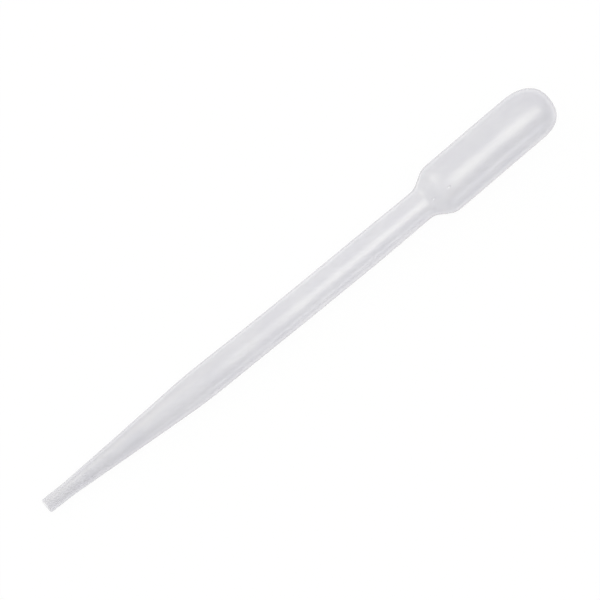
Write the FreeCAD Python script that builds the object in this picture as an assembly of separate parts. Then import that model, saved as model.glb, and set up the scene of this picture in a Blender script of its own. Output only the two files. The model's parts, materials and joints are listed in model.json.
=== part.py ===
# Dropper pipette, blow-moulded in one piece from natural low-density polyethylene.
#
# A closed bulb, a round stem and a drawn-down tip share one wall round one cavity, which opens
# only at the tip. The half section is drawn in the XZ plane under the axis, with the middle of the
# mouth at the origin and the pole of the bulb on +X, and turned round X. The pipette is then laid
# down as it rests on a bench, on the foot of its stem and the shoulder of its bulb.
import FreeCAD, Part
import math
import os

# Lengths along the axis, in mm, each from one corner of the outline to the next.
TIP_LENGTH = 6.5
TAPER_LENGTH = 35.7
STEM_LENGTH = 58.8
NECK_LENGTH = 11.5
SHOULDER_LENGTH = 4.1
BULB_LENGTH = 33.4

# Outside diameters, in mm.
TIP_DIAMETER = 3.64
STEM_DIAMETER = 7.82
NECK_DIAMETER = 7.46
BULB_DIAMETER = 12.88

# Wall thickness, in mm, measured square to the axis, and along the axis at the pole.
TIP_WALL = 0.55
STEM_WALL = 0.6
NECK_WALL = 0.65
BULB_WALL = 0.7
POLE_WALL = 0.8

# Radii, in mm, that blend each stretch of the outside into the next.
TIP_BLEND = 12.0
TAPER_BLEND = 55.0
NECK_BLEND = 200.0
SHOULDER_FILLET = 3.2
SHOULDER_ROUND = 5.5

ORIGIN = FreeCAD.Vector(0, 0, 0)
ALONG = FreeCAD.Vector(1, 0, 0)
ACROSS = FreeCAD.Vector(0, 1, 0)
FULL_TURN = 360


def corner_positions():
    """Distance from the mouth of each corner of the outline, and last of the pole."""
    lengths = (TIP_LENGTH, TAPER_LENGTH, STEM_LENGTH, NECK_LENGTH, SHOULDER_LENGTH, BULB_LENGTH)
    positions = [0.0]
    for length in lengths:
        positions.append(positions[-1] + length)
    return positions


def below(x, radius):
    """Point of the half section, this far along the axis and under it."""
    return FreeCAD.Vector(x, 0, -radius)


def blend_points(before, corner, after, radius):
    """Start, middle and end of the arc of this radius that touches both runs of a corner."""
    back = (before - corner).normalize()
    forward = (after - corner).normalize()
    half_angle = back.getAngle(forward) / 2
    inward = (back + forward).normalize()
    reach = radius / math.tan(half_angle)
    sink = radius / math.sin(half_angle) - radius
    return corner + back * reach, corner + inward * sink, corner + forward * reach


def outline(radii, pole, blends):
    """Edges of a half outline, from the mouth to the pole.

    radii gives the radius at the mouth, at each corner after it and last along the bulb, blends
    the radius of the arc at each corner, and pole the place where the round end meets the axis.
    """
    dome = radii[-1]
    dome_start = below(pole - dome, dome)
    points = [below(x, radius) for x, radius in zip(corner_positions(), radii)]
    points.append(dome_start)
    edges = []
    start = points[0]
    for corner, after, blend in zip(points[1:], points[2:], blends):
        arc_start, arc_middle, arc_end = blend_points(start, corner, after, blend)
        edges.append(Part.makeLine(start, arc_start))
        edges.append(Part.Arc(arc_start, arc_middle, arc_end).toShape())
        start = arc_end
    edges.append(Part.makeLine(start, dome_start))
    diagonal = dome * math.sqrt(0.5)
    dome_middle = below(pole - dome + diagonal, diagonal)
    dome_end = below(pole, 0)
    edges.append(Part.Arc(dome_start, dome_middle, dome_end).toShape())
    return edges


def outside():
    """Half outline of the outer surface."""
    diameters = (TIP_DIAMETER, TIP_DIAMETER, STEM_DIAMETER, STEM_DIAMETER, NECK_DIAMETER, BULB_DIAMETER)
    radii = [diameter / 2 for diameter in diameters]
    blends = (TIP_BLEND, TAPER_BLEND, NECK_BLEND, SHOULDER_FILLET, SHOULDER_ROUND)
    return outline(radii, corner_positions()[-1], blends)


def cavity():
    """Half outline of the inner surface, one wall inside the outer one.

    A blend that is hollow from outside is larger by the wall, and one that is round is smaller.
    """
    radii = (
        TIP_DIAMETER / 2 - TIP_WALL,
        TIP_DIAMETER / 2 - TIP_WALL,
        STEM_DIAMETER / 2 - STEM_WALL,
        STEM_DIAMETER / 2 - STEM_WALL,
        NECK_DIAMETER / 2 - NECK_WALL,
        BULB_DIAMETER / 2 - BULB_WALL,
    )
    blends = (
        TIP_BLEND + TIP_WALL,
        TAPER_BLEND - STEM_WALL,
        NECK_BLEND - STEM_WALL,
        SHOULDER_FILLET + NECK_WALL,
        SHOULDER_ROUND - BULB_WALL,
    )
    return outline(radii, corner_positions()[-1] - POLE_WALL, blends)


def ends(edges):
    """First and last point of a half outline."""
    return edges[0].Vertexes[0].Point, edges[-1].Vertexes[-1].Point


def pipette():
    """The whole wall, its half section turned once round the axis."""
    outer = outside()
    inner = cavity()
    outer_mouth, outer_pole = ends(outer)
    inner_mouth, inner_pole = ends(inner)
    mouth_edge = Part.makeLine(inner_mouth, outer_mouth)
    pole_edge = Part.makeLine(outer_pole, inner_pole)
    section = Part.Wire(Part.__sortEdges__([mouth_edge, pole_edge] + outer + inner))
    return Part.Face(section).revolve(ORIGIN, ALONG, FULL_TURN)


def rounded_end(corner, cone_length, cone_diameter, run_diameter, blend):
    """Centre, as place and radius, and size of the arc where a widening cone meets a straight run."""
    slope = math.atan2((run_diameter - cone_diameter) / 2, cone_length)
    return corner + blend * math.tan(slope / 2), run_diameter / 2 - blend, blend


def tangent_angle(near, far):
    """Angle in radians between the axis and the line that touches two arcs from outside."""
    near_x, near_radius, near_size = near
    far_x, far_radius, far_size = far
    run = far_x - near_x
    rise = far_radius - near_radius
    return math.atan2(rise, run) + math.asin((far_size - near_size) / math.hypot(run, rise))


def resting_place():
    """Tilt of the axis in radians, and height of the middle of the mouth, on a bench at z = 0.

    The shoulder carries the bulb's end. The other end is carried by the foot of the stem or by
    the edge of the tip, whichever the bench meets at the smaller tilt.
    """
    positions = corner_positions()
    shoulder = rounded_end(positions[5], SHOULDER_LENGTH, NECK_DIAMETER, BULB_DIAMETER, SHOULDER_ROUND)
    stem_foot = rounded_end(positions[2], TAPER_LENGTH, TIP_DIAMETER, STEM_DIAMETER, TAPER_BLEND)
    tip_edge = (0.0, TIP_DIAMETER / 2, 0.0)
    tilt = min(tangent_angle(stem_foot, shoulder), tangent_angle(tip_edge, shoulder))
    shoulder_x, shoulder_radius, shoulder_size = shoulder
    height = shoulder_size + shoulder_radius * math.cos(tilt) - shoulder_x * math.sin(tilt)
    return tilt, height


def laid_down(shape):
    """The shape tilted to its rest, with the bottom centre of its box at the origin."""
    tilt, height = resting_place()
    dome = BULB_DIAMETER / 2
    rearmost = -TIP_DIAMETER / 2 * math.sin(tilt)
    foremost = (corner_positions()[-1] - dome) * math.cos(tilt) + dome
    placed = shape.copy()
    placed.rotate(ORIGIN, ACROSS, -math.degrees(tilt))
    placed.translate(FreeCAD.Vector(-(rearmost + foremost) / 2, 0, height))
    return placed


os.makedirs("parts", exist_ok=True)
laid_down(pipette()).exportStep("parts/pipette.step")
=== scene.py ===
"""A disposable dropper pipette, blow-moulded from natural polyethylene, lying on a white bench."""
import json
import math

import bpy
import numpy as np
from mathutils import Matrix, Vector


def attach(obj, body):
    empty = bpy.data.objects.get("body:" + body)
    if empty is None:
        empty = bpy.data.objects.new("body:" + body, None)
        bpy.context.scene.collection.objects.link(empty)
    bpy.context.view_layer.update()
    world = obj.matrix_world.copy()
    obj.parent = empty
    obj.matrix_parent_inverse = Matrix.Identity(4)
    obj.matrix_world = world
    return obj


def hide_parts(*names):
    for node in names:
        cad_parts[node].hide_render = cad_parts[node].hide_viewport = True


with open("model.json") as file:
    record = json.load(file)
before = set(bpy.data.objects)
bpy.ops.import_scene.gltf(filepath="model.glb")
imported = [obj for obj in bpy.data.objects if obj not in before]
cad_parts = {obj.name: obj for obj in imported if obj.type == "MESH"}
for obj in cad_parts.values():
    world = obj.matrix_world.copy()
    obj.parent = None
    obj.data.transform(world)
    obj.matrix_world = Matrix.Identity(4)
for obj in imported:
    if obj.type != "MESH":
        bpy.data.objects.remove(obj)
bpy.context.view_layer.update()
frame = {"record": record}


# ---------------------------------------------------------------------------------------------
# The pipette. A hot tube of polyethylene is clamped in a split mould and blown: the bulb and the
# stem swell out to the mould, the tip is drawn down, and its end is cut off square. It is one
# wall round one cavity, so it is one mesh: outer surface, cut end and inner surface.
# ---------------------------------------------------------------------------------------------
MM = 0.001

# Outline, in mm from the mouth: where each stretch ends, and how far its bend is spread.
TIP_END, TIP_BEND = 6.4, 0.6
TAPER_END, TAPER_BEND = 42.2, 2.5
NECK_START, NECK_BEND = 100.9, 4.0
SHOULDER_START, SHOULDER_START_BEND = 112.5, 0.76
SHOULDER_END, SHOULDER_END_BEND = 116.6, 0.87

# On the upper side the shoulder starts later, is steeper and is rounded off more.
UPPER_START, UPPER_START_BEND, UPPER_END_BEND = 113.6, 0.4, 2.0

# The round end is a superellipse of this power.
DOME_START, DOME_LENGTH, DOME_POWER = 141.5, 8.4, 2.55
LENGTH = DOME_START + DOME_LENGTH

# Radius at the mouth, in mm, and what each stretch gains for each mm of its length.
MOUTH_RADIUS = 1.807
TIP_SLOPE = 0.003
TAPER_SLOPE = 0.0582
NECK_SLOPE = -0.0157
SHOULDER_SLOPE = 0.674
BULB_SLOPE = -0.0032

# Two places where the blowing left the stem fuller: middle, spread and height in mm.
STEM_SWELLS = ((48.8, 7.9, 0.092), (93.8, 5.7, 0.041))

# Wall, in mm, square to the axis, and along the axis at the pole of the bulb.
TIP_WALL, STEM_WALL, BULB_WALL, POLE_WALL = 0.55, 0.6, 0.7, 0.8

# The cut end: how deep its rounded edges go, in mm, and the power of its superellipse.
CUT_DEPTH, CUT_POWER = 0.12, 5.0

# The moulding is not quite straight, in mm: it bows to one side, its bulb stands a step further
# that way, and its round end leans that way too.
BOW = 0.9
BULB_STEP, STEP_START, STEP_FULL, STEP_GONE = 0.11, 111.9, 117.6, 136.5
DOME_LEAN, LEAN_FULL = 0.33, 148.9

# The ridge that the split of the mould leaves along both sides: height and half width, in mm.
RIDGE_HEIGHT, RIDGE_SPREAD = 0.02, 0.1

# Rings along the outside, the cut end and the inside, and points round each ring. A turn of one
# radian in the outline gets as many rings as BEND_SHARE mm of a straight run, and points crowd
# at the ridges by the share CROWD.
RINGS_OUTSIDE, RINGS_CUT, RINGS_INSIDE = 300, 14, 260
POINTS_ROUND = 160
BEND_SHARE, CROWD = 12.0, 0.8


def climb(x, start, bend):
    """Rises one for one past start and is flat before it, along a hyperbola: half of t plus the
    root of t squared plus bend squared, where t is the distance past start."""
    t = x - start
    return (t + np.sqrt(t * t + bend * bend)) / 2


def bump(x, middle, spread):
    """A rise of one at middle that dies away on both sides: e to the minus square of the
    distance over spread."""
    return np.exp(-(((x - middle) / spread) ** 2))


def settle(x, start, end):
    """Goes smoothly from nought at start to one at end: three t squared less two t cubed."""
    t = np.clip((x - start) / (end - start), 0, 1)
    return t * t * (3 - 2 * t)


def dome(x, length):
    """Share of the radius left along a round end of this length, a superellipse: the root of
    one less t to the power, where t runs from nought at its start to one at its pole."""
    t = np.clip((x - DOME_START) / length, 0, 1)
    return (1 - t**DOME_POWER) ** (1 / DOME_POWER)


def shank_radius(x):
    """Outer radius without the round end: each stretch adds its slope times the length run, and
    each swell its bump."""
    tip_end = climb(x, TIP_END, TIP_BEND)
    taper_end = climb(x, TAPER_END, TAPER_BEND)
    neck_start = climb(x, NECK_START, NECK_BEND)
    shoulder_start = climb(x, SHOULDER_START, SHOULDER_START_BEND)
    shoulder_end = climb(x, SHOULDER_END, SHOULDER_END_BEND)
    radius = MOUTH_RADIUS + TIP_SLOPE * (x - tip_end) + TAPER_SLOPE * (tip_end - taper_end)
    radius += NECK_SLOPE * (neck_start - shoulder_start)
    radius += SHOULDER_SLOPE * (shoulder_start - shoulder_end) + BULB_SLOPE * shoulder_end
    for middle, spread, height in STEM_SWELLS:
        radius += height * bump(x, middle, spread)
    return radius


def upper_sink(x):
    """How much lower the upper side lies round the shoulder: the slope times the difference of
    two rises, that of the sides and the later one of the upper side, which is steeper by the
    ratio of their lengths. It settles to nought from the shoulder to the round end."""
    side_start = climb(x, SHOULDER_START, SHOULDER_START_BEND)
    side_rise = side_start - climb(x, SHOULDER_END, SHOULDER_END_BEND)
    upper_start = climb(x, UPPER_START, UPPER_START_BEND)
    upper_rise = upper_start - climb(x, SHOULDER_END, UPPER_END_BEND)
    steeper = (SHOULDER_END - SHOULDER_START) / (SHOULDER_END - UPPER_START)
    left = 1 - settle(x, SHOULDER_END, DOME_START)
    return SHOULDER_SLOPE * (side_rise - steeper * upper_rise) * left


def wall(x):
    """Thickness square to the axis: it settles from tip to stem and from neck to bulb."""
    thickness = TIP_WALL + (STEM_WALL - TIP_WALL) * settle(x, TIP_END, TAPER_END)
    return thickness + (BULB_WALL - STEM_WALL) * settle(x, NECK_START, SHOULDER_END)


def outer_radius(x):
    """Radius of the outer surface: the shank's radius times the share that the dome leaves."""
    return shank_radius(x) * dome(x, DOME_LENGTH)


def inner_radius(x):
    """Radius of the cavity: one wall less than outside, with a round end one wall shorter."""
    return (shank_radius(x) - wall(x)) * dome(x, DOME_LENGTH - POLE_WALL)


def stations(radius_at, pole, count):
    """Places from the mouth to the pole, close together where the outline bends: evenly spaced
    in its length plus BEND_SHARE times the angle that it turns through."""
    samples_straight, samples_round = 3000, 1200
    angle = np.linspace(0, math.pi / 2, samples_round)
    straight = np.linspace(0, DOME_START, samples_straight)[:-1]
    x = np.concatenate([straight, DOME_START + (pole - DOME_START) * np.sin(angle)])
    step_x = np.diff(x)
    step_r = np.diff(radius_at(x))
    turning = np.abs(np.diff(np.arctan2(step_r, step_x), prepend=0))
    measure = np.concatenate([[0], np.cumsum(np.hypot(step_x, step_r) + BEND_SHARE * turning)])
    return np.interp(np.linspace(0, measure[-1], count + 1), measure, x)[:-1]


def closed_section():
    """Outline of the wall as places and radii: from the pole back along the outside, round the
    cut end and forward along the inside. The cut end is a superellipse, nearly square."""
    outer_x = stations(outer_radius, LENGTH, RINGS_OUTSIDE)[::-1]
    inner_x = stations(inner_radius, LENGTH - POLE_WALL, RINGS_INSIDE)
    outer_x = outer_x[outer_x > CUT_DEPTH]
    inner_x = inner_x[inner_x > CUT_DEPTH]
    turn = np.linspace(math.pi / 2, -math.pi / 2, RINGS_CUT)
    across = np.sign(np.sin(turn)) * np.abs(np.sin(turn)) ** (2 / CUT_POWER)
    back = np.abs(np.cos(turn)) ** (2 / CUT_POWER)
    cut_x = CUT_DEPTH * (1 - back)
    cut_r = MOUTH_RADIUS - TIP_WALL / 2 + across * TIP_WALL / 2
    x = np.concatenate([outer_x, cut_x, inner_x])
    r = np.concatenate([outer_radius(outer_x), cut_r, inner_radius(inner_x)])
    return x, r


def offset(x):
    """How far the axis stands to the side at x: an arch of half a sine wave over the length, a
    step that settles in at the shoulder and out along the bulb, and a lean of the round end."""
    arch = BOW * np.sin(math.pi * x / LENGTH)
    step = BULB_STEP * settle(x, STEP_START, STEP_FULL) * (1 - settle(x, STEP_FULL, STEP_GONE))
    return -arch - step - DOME_LEAN * settle(x, DOME_START, LEAN_FULL)


# Where the frame puts the axis: the mount in the bore gives its direction and the mouth.
bore = next(m for m in frame["record"]["mounts"] if m["name"] == "tip_bore")
ALONG = -np.array(bore["axis"])
MOUTH = np.array(bore["pos_m"]) - ALONG * bore["dims"]["length_mm"] / 2 * MM
SIDE = np.array([0.0, 1.0, 0.0])
UP = np.cross(ALONG, SIDE)


def place(x, side, up):
    """Points of the frame, in metres, from millimetres along the axis, to the side and up: the
    mouth plus each times its direction."""
    x, side, up = np.broadcast_arrays(x, side, up)
    return MOUTH + MM * (x[..., None] * ALONG + side[..., None] * SIDE + up[..., None] * UP)


def pipette_mesh():
    """Carries the closed section round the axis. The angles are t less half of CROWD times the
    sine of two t. The upper side sinks by the square of the sine of the angle, and the outside
    rises by a bump at the two parting lines."""
    x, r = closed_section()
    t = np.linspace(0, 2 * math.pi, POINTS_ROUND, endpoint=False)
    angle = t - CROWD / 2 * np.sin(2 * t)
    outside = (np.arange(len(x)) < np.count_nonzero(np.diff(x) < 0))[:, None]
    from_parting = r[:, None] * np.abs(np.sin(angle))[None, :]
    upper = np.clip(np.sin(angle), 0, 1) ** 2
    radius = r[:, None] - upper_sink(x)[:, None] * upper
    radius += RIDGE_HEIGHT * outside * bump(from_parting, 0, RIDGE_SPREAD)
    side = offset(x)[:, None] + radius * np.cos(angle)
    points = place(x[:, None], side, radius * np.sin(angle)).reshape(-1, 3)
    poles = [place(pole, offset(pole), 0) for pole in (LENGTH, LENGTH - POLE_WALL)]
    points = np.concatenate([points, np.array(poles)])

    # Nothing reaches down into the bench.
    points[:, 2] -= min(points[:, 2].min(), 0)

    ring = np.arange(len(x) - 1)[:, None] * POINTS_ROUND
    here = np.arange(POINTS_ROUND)
    after = (here + 1) % POINTS_ROUND
    next_ring = ring + POINTS_ROUND
    quads = np.stack([ring + here, next_ring + here, next_ring + after, ring + after], -1)
    last = (len(x) - 1) * POINTS_ROUND
    outer_pole, inner_pole = len(points) - 2, len(points) - 1
    outer_fan = np.stack([np.full(POINTS_ROUND, outer_pole), here, after], -1)
    inner_fan = np.stack([last + after, last + here, np.full(POINTS_ROUND, inner_pole)], -1)
    faces = quads.reshape(-1, 4).tolist() + outer_fan.tolist() + inner_fan.tolist()
    mesh = bpy.data.meshes.new("pipette_wall")
    mesh.from_pydata(points.tolist(), [], faces)
    mesh.shade_smooth()
    return mesh


pipette = bpy.data.objects.new("pipette_moulding", pipette_mesh())
bpy.context.scene.collection.objects.link(pipette)


def linear(code):
    """Linear colour of an sRGB hex code, by the standard curve."""
    parts = [int(code[i : i + 2], 16) / 255 for i in (1, 3, 5)]
    return tuple(p / 12.92 if p <= 0.04045 else ((p + 0.055) / 1.055) ** 2.4 for p in parts) + (1.0,)


def add_node(tree, kind, settings=None, inputs=None):
    """A node of this kind, with attributes from settings and sockets set or linked by inputs."""
    node = tree.nodes.new(kind)
    for name, value in (settings or {}).items():
        setattr(node, name, value)
    for name, value in (inputs or {}).items():
        if isinstance(value, bpy.types.NodeSocket):
            tree.links.new(value, node.inputs[name])
        else:
            node.inputs[name].default_value = value
    return node


def new_material(name):
    """An empty node material and its output node."""
    material = bpy.data.materials.new(name)
    material.use_nodes = True
    material.node_tree.nodes.clear()
    return material, add_node(material.node_tree, "ShaderNodeOutputMaterial")


# Natural low-density polyethylene, blown against a smooth mould. It is clear but hazy: part of
# the light scatters at the skin and shows pale grey, the rest goes through to what lies behind,
# and the skin keeps a soft gloss.
HAZE = 0.42
IOR = 1.51
GLOSSIEST, DULLEST = 0.06, 0.1
CLOUD_TINT = "#f9f9fb"

# What the wall soaks up, for each metre of the way through it. This greys the edges most, where
# light runs along the wall.
WALL_COLOUR, WALL_DENSITY = "#bcb8c6", 330.0

# Tint of the skin along the pipette, in mm from the mouth: darkest at the tip, lighter along the stem and a
# little darker again over the bulb.
TINTS = (
    (0, "#e4e4e8"),
    (24, "#e8e8ec"),
    (50, "#eeeef2"),
    (80, "#f2f2f6"),
    (112, "#f2f2f6"),
    (120, "#f0f0f4"),
    (LENGTH, "#f0f0f4"),
)

# Cloud patterns: width in mm, how many times longer they are along the pipette, and detail. Real
# die lines are about a tenth as wide, and these are as coarse as they need to be to show. They
# stand this high, in mm.
PATTERNS = {"die lines": (0.7, 80, 2.0), "clouds": (5.0, 1.6, 3.0)}
DIE_LINE_HEIGHT = 0.001

# Two nicks in the upper side, at the ends of the shoulder: places along and to the side, depth
# and reach in mm, and their width as a share of their length.
NICKS = ((114.5, -1.43), (118.9, -1.47))
NICK_DEPTH, NICK_REACH, NICK_SLENDER = 0.12, 0.4, 0.55

# Their floor lets less light through and scatters more, so it shows as a pale spot, a painted glint: its
# share, and how far from the middle it starts and stops to give way to the skin's, in mm.
NICK_GLINT_CLEAR, NICK_FLOOR, NICK_EDGE = 0.36, 0.04, 0.2

# The knife leaves the cut end nearly matt: the share of light that it lets through, and how far
# along the pipette it starts and stops to give way to the skin's, in mm.
CUT_CLEAR, CUT_MATT_END, CUT_CLEAR_START = 0.1, 0.08, 0.25

polyethylene, output = new_material("natural_polyethylene_blow_moulded")
tree = polyethylene.node_tree

# Millimetres along the pipette from the mouth, to the side and up.
coordinates = add_node(tree, "ShaderNodeTexCoord")
in_mm = add_node(
    tree,
    "ShaderNodeMapping",
    {"vector_type": "TEXTURE"},
    {
        "Vector": coordinates.outputs["Object"],
        "Location": tuple(MOUTH),
        "Rotation": (0, -math.asin(ALONG[2]), 0),
        "Scale": (MM, MM, MM),
    },
)
along = add_node(tree, "ShaderNodeSeparateXYZ", inputs={0: in_mm.outputs["Vector"]})

patterns = {}
for name, (width, stretch, detail) in PATTERNS.items():
    scaled = add_node(
        tree,
        "ShaderNodeVectorMath",
        {"operation": "MULTIPLY"},
        {0: in_mm.outputs["Vector"], 1: (1 / (stretch * width), 1 / width, 1 / width)},
    )
    pattern = add_node(
        tree,
        "ShaderNodeTexNoise",
        inputs={"Vector": scaled.outputs["Vector"], "Scale": 1.0, "Detail": detail},
    )
    patterns[name] = pattern.outputs["Fac"]

# Distance in mm to the nearest nick, with lengths shrunk as the nicks are slender. Below the axis
# everything counts as far off, so that only the upper side has nicks.
FAR = 9.0
shrunk = add_node(
    tree, "ShaderNodeMath", {"operation": "MULTIPLY"}, {0: along.outputs["X"], 1: NICK_SLENDER}
)
under = add_node(
    tree,
    "ShaderNodeMapRange",
    inputs={"Value": along.outputs["Z"], "From Min": 0, "From Max": -1, "To Min": 0, "To Max": FAR},
)
flat = add_node(
    tree,
    "ShaderNodeCombineXYZ",
    inputs={"X": shrunk.outputs["Value"], "Y": along.outputs["Y"], "Z": under.outputs["Result"]},
)
nearest = FAR
for nick_along, nick_side in NICKS:
    away = add_node(
        tree,
        "ShaderNodeVectorMath",
        {"operation": "DISTANCE"},
        {0: flat.outputs["Vector"], 1: (nick_along * NICK_SLENDER, nick_side, 0)},
    )
    nearer = add_node(
        tree, "ShaderNodeMath", {"operation": "MINIMUM"}, {0: away.outputs["Value"], 1: nearest}
    )
    nearest = nearer.outputs["Value"]

# Numbers that run smoothly from one value to another while their source does. A cloud pattern
# keeps mostly between the middle two values.
MIDDLE_LOW, MIDDLE_HIGH = 0.3, 0.7
smooth = {}
for name, source, source_start, source_end, start, end in (
    ("pit", nearest, 0, NICK_REACH, NICK_DEPTH, 0),
    # Less light goes through at the nick floors, so they show pale there: a painted glint.
    ("clear at painted nick glints", nearest, NICK_FLOOR, NICK_EDGE, NICK_GLINT_CLEAR, 1 - HAZE),
    ("clear at cut", along.outputs["X"], CUT_MATT_END, CUT_CLEAR_START, CUT_CLEAR, 1),
    ("roughness", patterns["die lines"], MIDDLE_LOW, MIDDLE_HIGH, GLOSSIEST, DULLEST),
    ("cloud", patterns["clouds"], MIDDLE_LOW, MIDDLE_HIGH, 0, 1),
):
    run = add_node(
        tree,
        "ShaderNodeMapRange",
        {"interpolation_type": "SMOOTHSTEP"},
        {"Value": source, "From Min": source_start, "From Max": source_end, "To Min": start, "To Max": end},
    )
    smooth[name] = run.outputs["Result"]

lines = add_node(
    tree, "ShaderNodeMath", {"operation": "MULTIPLY"}, {0: patterns["die lines"], 1: DIE_LINE_HEIGHT}
)
height = add_node(
    tree, "ShaderNodeMath", {"operation": "SUBTRACT"}, {0: lines.outputs["Value"], 1: smooth["pit"]}
)
skin = add_node(
    tree, "ShaderNodeBump", inputs={"Height": height.outputs["Value"], "Distance": MM, "Strength": 1.0}
)

# Haze and tint count once, where light meets the skin from the air. From inside it is clear.
geometry = add_node(tree, "ShaderNodeNewGeometry")
# The share let through is lowest at the cut end and at the nick floors, whose pale spots are a painted
# glint.
clear_in = add_node(
    tree,
    "ShaderNodeMath",
    {"operation": "MINIMUM"},
    {0: smooth["clear at painted nick glints"], 1: smooth["clear at cut"]},
)
clear = add_node(
    tree,
    "ShaderNodeMapRange",
    inputs={"Value": geometry.outputs["Backfacing"], "To Min": clear_in.outputs["Value"], "To Max": 1.0},
)
share = add_node(tree, "ShaderNodeMath", {"operation": "DIVIDE"}, {0: along.outputs["X"], 1: LENGTH})
tint = add_node(tree, "ShaderNodeValToRGB", inputs={0: share.outputs["Value"]})
for x, code in TINTS[1:-1]:
    tint.color_ramp.elements.new(x / LENGTH)
for stop, (x, code) in zip(tint.color_ramp.elements, TINTS):
    stop.position = x / LENGTH
    stop.color = linear(code)
cloudy = add_node(
    tree,
    "ShaderNodeMix",
    {"data_type": "RGBA", "blend_type": "MULTIPLY"},
    {"Factor": smooth["cloud"], 6: tint.outputs["Color"], 7: linear(CLOUD_TINT)},
)
colour = add_node(
    tree,
    "ShaderNodeMix",
    {"data_type": "RGBA"},
    {"Factor": geometry.outputs["Backfacing"], 6: cloudy.outputs[2], 7: linear("#ffffff")},
)
shell = add_node(
    tree,
    "ShaderNodeBsdfPrincipled",
    inputs={
        "Base Color": colour.outputs[2],
        "Roughness": smooth["roughness"],
        "IOR": IOR,
        "Transmission Weight": clear.outputs["Result"],
        "Normal": skin.outputs["Normal"],
    },
)
milk = add_node(
    tree, "ShaderNodeVolumeAbsorption", inputs={"Color": linear(WALL_COLOUR), "Density": WALL_DENSITY}
)
tree.links.new(shell.outputs["BSDF"], output.inputs["Surface"])
tree.links.new(milk.outputs["Volume"], output.inputs["Volume"])
pipette.data.materials.append(polyethylene)

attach(pipette, "root")
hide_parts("pipette")


# ---------------------------------------------------------------------------------------------
# The bench: a wide round sheet of white paper, turned up at its far edge so that it also stands
# behind the pipette in low views. The camera sees it as plain white, as do rays that the plastic
# bends or mirrors, and a share of real shading keeps the pipette's faint shadow.
# ---------------------------------------------------------------------------------------------
BENCH_RADIUS, BENCH_RIM, BENCH_CORNERS = 4.0, 0.5, 64
PAPER = "#f2f2f2"
SHADING_SHARE = 0.04

turn = np.linspace(0, 2 * math.pi, BENCH_CORNERS, endpoint=False)
edge = np.stack([BENCH_RADIUS * np.cos(turn), BENCH_RADIUS * np.sin(turn), 0 * turn], -1)
here = np.arange(BENCH_CORNERS)
after = (here + 1) % BENCH_CORNERS
rim = np.stack([after, here, here + BENCH_CORNERS, after + BENCH_CORNERS], -1)
bench_points = np.concatenate([edge, edge + (0, 0, BENCH_RIM)])
bench_mesh = bpy.data.meshes.new("bench")
bench_mesh.from_pydata(bench_points.tolist(), [], [here.tolist()] + rim.tolist())
bench = bpy.data.objects.new("bench", bench_mesh)
bpy.context.scene.collection.objects.link(bench)

sheet, output = new_material("white_paper_sheet")
tree = sheet.node_tree
rays = add_node(tree, "ShaderNodeLightPath")
direct = add_node(
    tree,
    "ShaderNodeMath",
    {"operation": "MAXIMUM"},
    {0: rays.outputs["Is Camera Ray"], 1: rays.outputs["Is Glossy Ray"]},
)
seen = add_node(
    tree,
    "ShaderNodeMath",
    {"operation": "MAXIMUM"},
    {0: direct.outputs["Value"], 1: rays.outputs["Is Transmission Ray"]},
)
paper = add_node(tree, "ShaderNodeBsdfDiffuse", inputs={"Color": linear(PAPER)})
white = add_node(tree, "ShaderNodeEmission", inputs={"Color": (1, 1, 1, 1), "Strength": 1.0})
part_white = add_node(
    tree,
    "ShaderNodeMixShader",
    inputs={0: 1 - SHADING_SHARE, 1: paper.outputs["BSDF"], 2: white.outputs["Emission"]},
)
surface = add_node(
    tree,
    "ShaderNodeMixShader",
    inputs={0: seen.outputs["Value"], 1: paper.outputs["BSDF"], 2: part_white.outputs["Shader"]},
)
tree.links.new(surface.outputs["Shader"], output.inputs["Surface"])
bench_mesh.materials.append(sheet)


# ---------------------------------------------------------------------------------------------
# Light: a pale room, brighter on some sides than on others, with soft boxes of fabric over lamps.
# Three hang over the stem and bulb and draw the long highlight. Two at the side and one at the
# corner draw the glint on the shoulder.
# ---------------------------------------------------------------------------------------------

# Brightness of the room by direction, from -1 square to one side to 1 square to the other.
ROOM_LEVELS = (
    (-1.0, 2.0),
    (-0.97, 1.8),
    (-0.86, 0.42),
    (-0.7, 0.38),
    (-0.5, 0.72),
    (-0.1, 0.9),
    (0.3, 1.14),
    (0.6, 0.93),
    (1.0, 0.66),
)
world = bpy.data.worlds.new("room")
world.use_nodes = True
tree = world.node_tree
tree.nodes.clear()
direction = add_node(tree, "ShaderNodeTexCoord")
facing = add_node(tree, "ShaderNodeSeparateXYZ", inputs={0: direction.outputs["Generated"]})
across = add_node(
    tree, "ShaderNodeMapRange", inputs={"Value": facing.outputs["Y"], "From Min": -1.0, "From Max": 1.0}
)
walls = add_node(tree, "ShaderNodeValToRGB", inputs={0: across.outputs["Result"]})
walls.color_ramp.interpolation = "EASE"
for y, level in ROOM_LEVELS[1:-1]:
    walls.color_ramp.elements.new((y + 1) / 2)
for stop, (y, level) in zip(walls.color_ramp.elements, ROOM_LEVELS):
    stop.position = (y + 1) / 2
    stop.color = (level, level, level, 1)
room = add_node(tree, "ShaderNodeBackground", inputs={"Color": walls.outputs["Color"], "Strength": 1.0})
add_node(tree, "ShaderNodeOutputWorld", inputs={"Surface": room.outputs["Background"]})
bpy.context.scene.world = world

# The fabric of the boxes is a little warm. Boxes that share a place lie this far apart, in m.
FABRIC = "#fffeec"
LAYER = 0.01

# Boxes over the bench, in m: where each starts and its width, then where all of them end, how far
# they hang to the side and how high, and their brightness.
OVERHEAD_BOXES = ((-0.10, 0.78), (-0.16, 1.33), (-0.25, 1.9))
OVERHEAD_END, OVERHEAD_SIDE, OVERHEAD_HEIGHT, OVERHEAD_RADIANCE = 1.9, -0.19, 2.0, 0.62

# Boxes to the side, facing the bench, in m: width and depth of each, then where both stand along
# it, how far away and how high, and their brightness.
SIDE_BOXES = ((1.7, 2.8), (1.1, 1.9))
SIDE_ALONG, SIDE_AWAY, SIDE_HEIGHT, SIDE_RADIANCE = -1.15, 2.20, 1.55, 0.6

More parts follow.
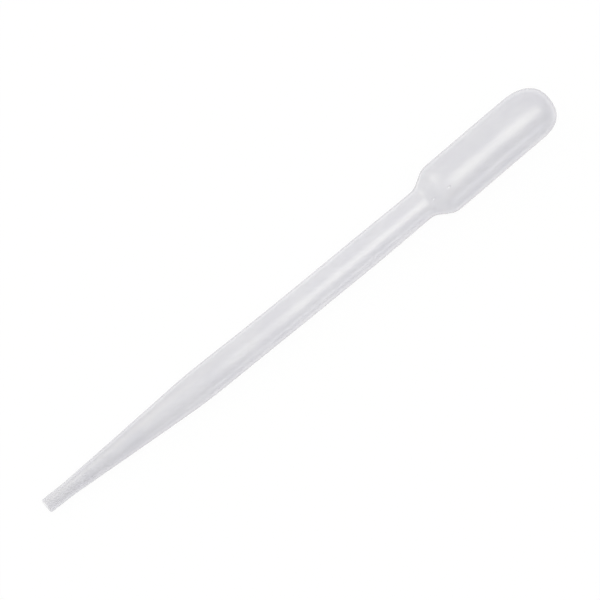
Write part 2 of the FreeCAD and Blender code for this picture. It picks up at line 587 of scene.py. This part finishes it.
# The box at the corner, in m: its place and width, and its brightness.
CORNER_PLACE, CORNER_SIZE, CORNER_RADIANCE = (-2.1, 1.80, 1.10), 1.2, 0.5


def soft_box(name, shape, location, aim, size_x, size_y, radiance):
    """A soft box at location facing aim. Its power is radiance times pi times the area of the
    rectangle round it."""
    lamp = bpy.data.lights.new(name, "AREA")
    lamp.shape = shape
    lamp.size = size_x
    lamp.size_y = size_y
    lamp.energy = radiance * math.pi * size_x * size_y
    lamp.color = linear(FABRIC)[:3]
    holder = bpy.data.objects.new(name, lamp)
    holder.location = location
    holder.rotation_euler = (Vector(aim) - Vector(location)).to_track_quat("-Z", "Y").to_euler()
    bpy.context.scene.collection.objects.link(holder)


for number, (start, width) in enumerate(OVERHEAD_BOXES):
    soft_box(
        f"soft_box_{number}",
        "RECTANGLE",
        ((start + OVERHEAD_END) / 2, OVERHEAD_SIDE, OVERHEAD_HEIGHT + LAYER * number),
        ((start + OVERHEAD_END) / 2, OVERHEAD_SIDE, 0),
        OVERHEAD_END - start,
        width,
        OVERHEAD_RADIANCE,
    )
for number, (width, depth) in enumerate(SIDE_BOXES):
    soft_box(
        f"side_box_{number}",
        "ELLIPSE",
        (SIDE_ALONG, SIDE_AWAY, SIDE_HEIGHT + LAYER * number),
        (SIDE_ALONG, 0, 0),
        width,
        depth,
        SIDE_RADIANCE,
    )
soft_box("corner_box", "ELLIPSE", CORNER_PLACE, (0, 0, 0), CORNER_SIZE, CORNER_SIZE, CORNER_RADIANCE)


# ---------------------------------------------------------------------------------------------
# Camera: a long lens straight above the bench, turned so that the bulb lies to the upper right.
# It is aimed at a point a little off the middle, and its picture has a set width there.
# ---------------------------------------------------------------------------------------------
LENS, SENSOR = 150.0, 36.0
FRAME_WIDTH = 138.94 * MM
TURN = math.radians(39.135)

# The point, in mm from the middle of the bench: to the camera's right, its upward, and above.
AIM_RIGHT, AIM_UPWARD, AIM_HEIGHT = 0.778, 0.629, 5
camera_data = bpy.data.cameras.new("camera")
camera_data.lens = LENS
camera_data.sensor_width = SENSOR
camera = bpy.data.objects.new("camera", camera_data)
right = Vector((math.cos(TURN), -math.sin(TURN), 0))
upward = Vector((math.sin(TURN), math.cos(TURN), 0))
aim = (right * AIM_RIGHT + upward * AIM_UPWARD + Vector((0, 0, AIM_HEIGHT))) * MM
camera.location = aim + Vector((0, 0, FRAME_WIDTH * LENS / SENSOR))
camera.rotation_euler = (0, 0, -TURN)
bpy.context.scene.collection.objects.link(camera)
bpy.context.scene.camera = camera
bpy.context.scene.view_settings.view_transform = "Standard"
